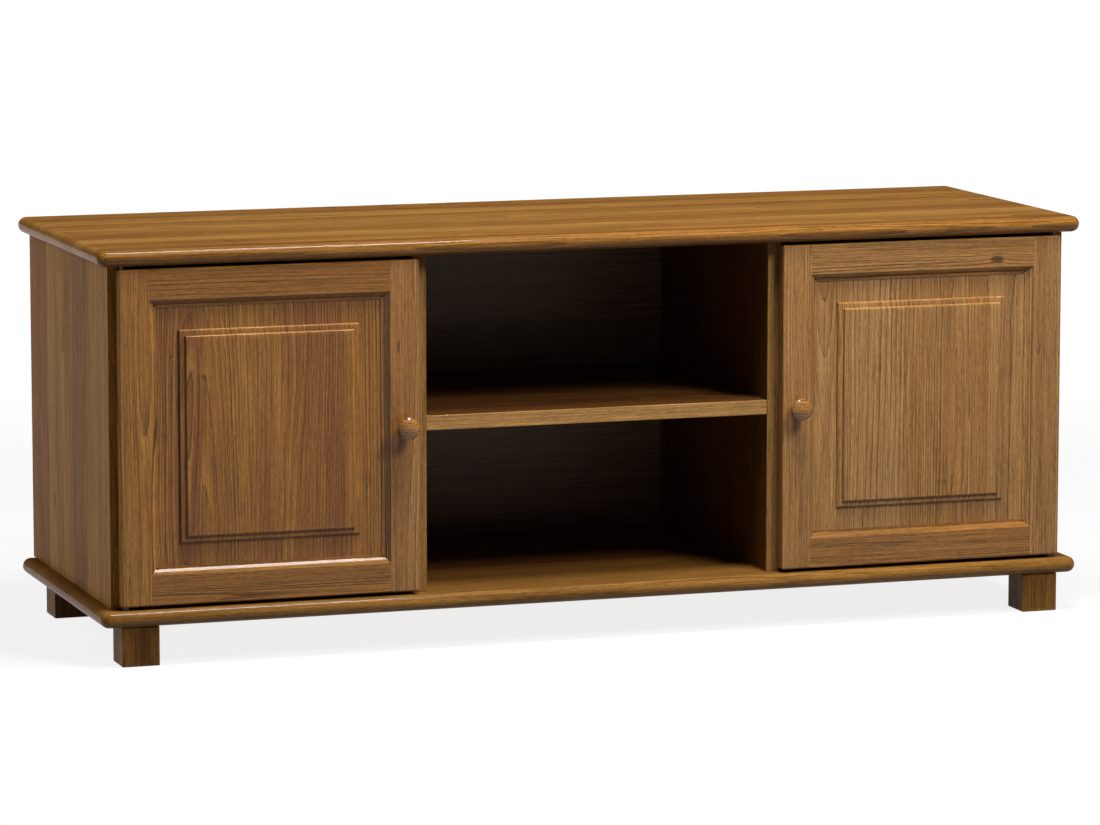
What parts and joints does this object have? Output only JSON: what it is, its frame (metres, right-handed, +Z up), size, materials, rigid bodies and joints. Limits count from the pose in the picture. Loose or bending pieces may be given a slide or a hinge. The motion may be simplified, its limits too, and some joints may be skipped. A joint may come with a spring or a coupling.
{
  "type": "tv stand",
  "caption": "Low stained-pine media cabinet with raised-panel pivot doors either side of an open shelved bay, round-edged top and base boards and block feet.",
  "frame": {"origin": "on the floor, in the middle of the overall box, knobs included", "axes": "+X along the width to the right as seen from the front, +Y from front to back, +Z up"},
  "size_m": [1.4, 0.493, 0.554],
  "materials": {
    "stained_pine": "semi-gloss stained lacquer",
    "back_board": "matt stained board",
    "beech": "bare turned beech",
    "zinc_steel": "zinc plated",
    "bronzed_steel": "dark bronzed",
    "brass": "turned brass",
    "brown_plastic": "moulded satin",
    "magnet": "ground ferrite"
  },
  "bodies": {
    "carcass": {"top_board": "stained_pine", "base_board": "stained_pine", "middle_shelf": "stained_pine", "back_panel": "back_board", "upright_dowels": "beech", "shelf_dowels": "beech", "foot_bolts": "zinc_steel", "shelf_pins": "zinc_steel", "back_panel_screws": "zinc_steel", "lower_pivot_pins": "bronzed_steel", "upper_pivot_bushes": "brass", "catch_cases": "brown_plastic", "catch_magnets": "magnet", "catch_screws": "zinc_steel", "left_side_panel": "stained_pine", "left_partition": "stained_pine", "left_cupboard_shelf": "stained_pine", "left_front_foot": "stained_pine", "left_rear_foot": "stained_pine", "right_side_panel": "stained_pine", "right_partition": "stained_pine", "right_cupboard_shelf": "stained_pine", "right_front_foot": "stained_pine", "right_rear_foot": "stained_pine"},
    "left_door": {"left_door_hinge_stile": "stained_pine", "left_door_knob_stile": "stained_pine", "left_door_top_rail": "stained_pine", "left_door_bottom_rail": "stained_pine", "left_door_panel": "stained_pine", "left_door_knob": "stained_pine", "left_knob_screw": "zinc_steel", "left_lower_pivot_bush": "brass", "left_upper_pivot_pin": "bronzed_steel", "left_strike_plate": "zinc_steel", "left_strike_screws": "zinc_steel"},
    "right_door": {"right_door_hinge_stile": "stained_pine", "right_door_knob_stile": "stained_pine", "right_door_top_rail": "stained_pine", "right_door_bottom_rail": "stained_pine", "right_door_panel": "stained_pine", "right_door_knob": "stained_pine", "right_knob_screw": "zinc_steel", "right_lower_pivot_bush": "brass", "right_upper_pivot_pin": "bronzed_steel", "right_strike_plate": "zinc_steel", "right_strike_screws": "zinc_steel"}
  },
  "joints": [
    {"name": "left_door_swing", "type": "hinge", "parent": "carcass", "child": "left_door", "pos_m": [-0.665, -0.2105, 0.3035], "axis": [0, 0, -1], "range_deg": [0, 110]},
    {"name": "right_door_swing", "type": "hinge", "parent": "carcass", "child": "right_door", "pos_m": [0.665, -0.2105, 0.3035], "axis": [0, 0, 1], "range_deg": [0, 110]}
  ]
}
